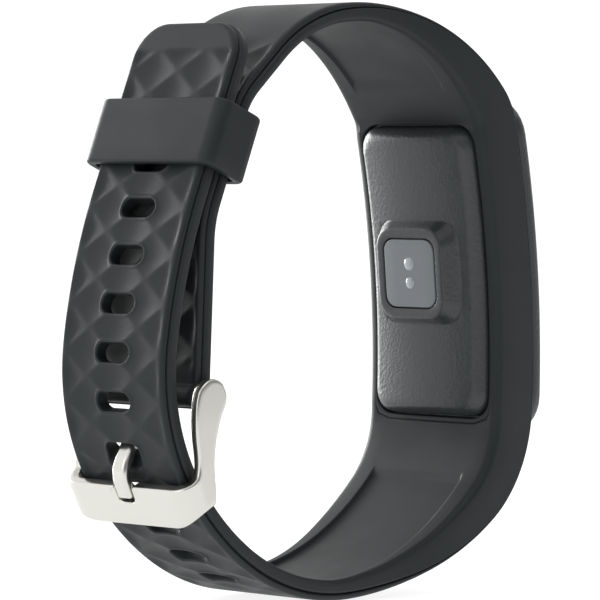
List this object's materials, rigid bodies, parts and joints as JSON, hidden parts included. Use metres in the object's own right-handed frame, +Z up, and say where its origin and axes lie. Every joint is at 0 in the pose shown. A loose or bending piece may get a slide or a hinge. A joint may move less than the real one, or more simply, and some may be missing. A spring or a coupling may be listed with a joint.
{
  "type": "fitness tracker band",
  "caption": "Wrist-worn activity tracker: slim sensor pod in a one-piece soft strap with a pin buckle and a sliding keeper, fastened in a loop.",
  "frame": {"origin": "centre of the fastened loop, on the wrist's axis", "axes": "+Z up the loop, +Y along the wrist (across the strap), +X from the buckle towards the pod"},
  "size_m": [0.0673, 0.0228, 0.0747],
  "materials": {
    "silicone": "matt, fine moulded grain",
    "polished_steel": "polished",
    "turned_steel": "turned",
    "pod_shell": "moulded with a fine leather-like texture",
    "window": "smooth, semi-gloss",
    "clear_lens": "clear",
    "front_glass": "gloss, dark behind",
    "adhesive": "film",
    "display": "gloss",
    "polyimide": "flexible circuit",
    "copper": "bare",
    "gold": "plated",
    "frame_plastic": "moulded",
    "circuit_board": "solder mask",
    "chip": "moulded epoxy",
    "cell": "foil pouch",
    "foam": "open foam",
    "motor_steel": "pressed",
    "seal": "soft"
  },
  "bodies": {
    "band": {"band": "silicone", "spring_bar_tube": "turned_steel", "spring_bar_spring": "turned_steel"},
    "keeper": {"keeper": "silicone"},
    "buckle": {"buckle_frame": "polished_steel"},
    "tongue": {"buckle_tongue": "polished_steel"},
    "near_pin": {"spring_bar_pin_near": "turned_steel"},
    "far_pin": {"spring_bar_pin_far": "turned_steel"},
    "pod": {"front_housing": "pod_shell", "front_lens": "front_glass", "lens_adhesive": "adhesive", "display_panel": "display", "display_flex": "polyimide", "touch_electrode": "copper", "inner_frame": "frame_plastic", "main_board": "circuit_board", "board_chips": "chip", "board_screws": "turned_steel", "antenna": "copper", "battery": "cell", "battery_protection_board": "circuit_board", "battery_foam_pad": "foam", "motor_case": "motor_steel", "motor_shaft": "turned_steel", "housing_gasket": "seal", "rear_cover": "pod_shell", "sensor_window": "window", "sensor_domes": "clear_lens", "sensor_board": "circuit_board", "sensor_dies": "chip", "charging_contacts": "gold"},
    "rotor": {"motor_rotor": "motor_steel"}
  },
  "joints": [
    {"name": "keeper_slide", "type": "slide", "parent": "band", "child": "keeper", "axis": [0.3767, 0, 0.9263], "range_m": [-0.0048, 0.0016]},
    {"name": "pod_release", "type": "slide", "parent": "band", "child": "pod", "axis": [0.9952, 0, 0.0979], "range_m": [0, 0.014]},
    {"name": "buckle_swing", "type": "hinge", "parent": "band", "child": "buckle", "pos_m": [-0.02616, 0, -0.01099], "axis": [0, 1, 0], "range_deg": [0, 2.5]},
    {"name": "tongue_lift", "type": "hinge", "parent": "buckle", "child": "tongue", "pos_m": [-0.02616, 0, -0.01099], "axis": [0, 1, 0], "range_deg": [0, 4]},
    {"name": "near_pin_press", "type": "slide", "parent": "band", "child": "near_pin", "axis": [0, 1, 0], "range_m": [0, 0.0012], "stiffness_N_per_m": 200, "springref_m": -0.003, "deforming": ["spring_bar_spring"]},
    {"name": "far_pin_press", "type": "slide", "parent": "band", "child": "far_pin", "axis": [0, -1, 0], "range_m": [0, 0.0012], "stiffness_N_per_m": 200, "springref_m": -0.003, "deforming": ["spring_bar_spring"]},
    {"name": "rotor_spin", "type": "hinge", "parent": "pod", "child": "rotor", "pos_m": [0.02501, 0, 0.01731], "axis": [0.9952, 0, 0.0979], "continuous": true}
  ]
}
